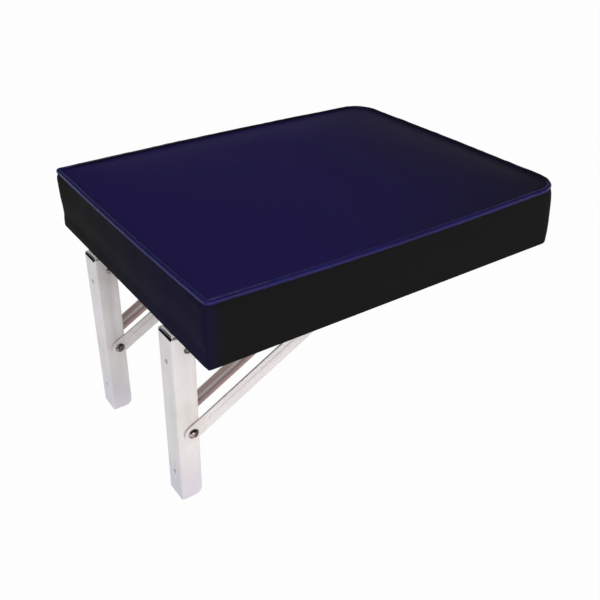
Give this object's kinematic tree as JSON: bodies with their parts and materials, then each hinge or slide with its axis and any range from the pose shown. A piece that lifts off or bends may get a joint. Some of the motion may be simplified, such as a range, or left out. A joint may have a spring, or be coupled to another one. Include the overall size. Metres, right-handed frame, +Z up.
{
  "type": "folding wall bench",
  "caption": "Wall-mounted fold-down bench seat: a boxed vinyl cushion on two painted steel brackets whose paired braces fold it down flat against the wall.",
  "frame": {"origin": "on the wall plane, halfway between the two brackets, at the height of the cushion's underside", "axes": "+Y into the wall, -Y out along the seat, +X to the right for someone facing the wall, +Z up"},
  "size_m": [0.3708, 0.4839, 0.3131],
  "materials": {
    "vinyl_top": "satin",
    "vinyl_band": "satin",
    "vinyl_piping": "satin",
    "foam": "matte",
    "plywood": "matte",
    "dust_cloth": "matte",
    "white_paint": "satin",
    "zinc_steel": "satin",
    "dark_steel": "gloss",
    "spring_steel": "satin"
  },
  "bodies": {
    "wall_brackets": {"left_wall_channel": "white_paint", "left_hinge_pin": "dark_steel", "left_bracket_left_hinge_spacer": "zinc_steel", "left_bracket_right_hinge_spacer": "zinc_steel", "left_bracket_left_brace_rivet": "dark_steel", "left_bracket_right_brace_rivet": "dark_steel", "right_wall_channel": "white_paint", "right_hinge_pin": "dark_steel", "right_bracket_left_hinge_spacer": "zinc_steel", "right_bracket_right_hinge_spacer": "zinc_steel", "right_bracket_left_brace_rivet": "dark_steel", "right_bracket_right_brace_rivet": "dark_steel"},
    "seat": {"seat_board": "plywood", "foam_pad": "foam", "cover_top": "vinyl_top", "cover_band": "vinyl_band", "piping": "vinyl_piping", "dust_cover": "dust_cloth", "left_seat_arm": "white_paint", "left_latch_spring": "spring_steel", "left_latch_rivet": "zinc_steel", "left_arm_screw_1": "zinc_steel", "left_arm_screw_2": "zinc_steel", "left_arm_screw_3": "zinc_steel", "left_arm_screw_4": "zinc_steel", "right_seat_arm": "white_paint", "right_latch_spring": "spring_steel", "right_latch_rivet": "zinc_steel", "right_arm_screw_1": "zinc_steel", "right_arm_screw_2": "zinc_steel", "right_arm_screw_3": "zinc_steel", "right_arm_screw_4": "zinc_steel"},
    "left_brace": {"left_cross_pin": "dark_steel", "left_bracket_left_brace_bar": "white_paint", "left_bracket_right_brace_bar": "white_paint", "left_bracket_left_pin_sleeve": "zinc_steel", "left_bracket_right_pin_sleeve": "zinc_steel"},
    "right_brace": {"right_cross_pin": "dark_steel", "right_bracket_left_brace_bar": "white_paint", "right_bracket_right_brace_bar": "white_paint", "right_bracket_left_pin_sleeve": "zinc_steel", "right_bracket_right_pin_sleeve": "zinc_steel"}
  },
  "joints": [
    {"name": "seat_fold", "type": "hinge", "parent": "wall_brackets", "child": "seat", "pos_m": [0, -0.0175, -0.021], "axis": [1, 0, 0], "range_deg": [0, 90], "deforming": ["left_latch_spring", "right_latch_spring"]},
    {"name": "left_brace_swing", "type": "hinge", "parent": "wall_brackets", "child": "left_brace", "pos_m": [0, -0.0175, -0.13209], "axis": [1, 0, 0], "range_deg": [0, 116.1]},
    {"name": "right_brace_swing", "type": "hinge", "parent": "wall_brackets", "child": "right_brace", "pos_m": [0, -0.0175, -0.13209], "axis": [1, 0, 0], "range_deg": [0, 116.1]}
  ],
  "couplings": [
    {"joint": "left_brace_swing", "follows": "seat_fold", "ratio": 1.29},
    {"joint": "right_brace_swing", "follows": "seat_fold", "ratio": 1.29}
  ]
}
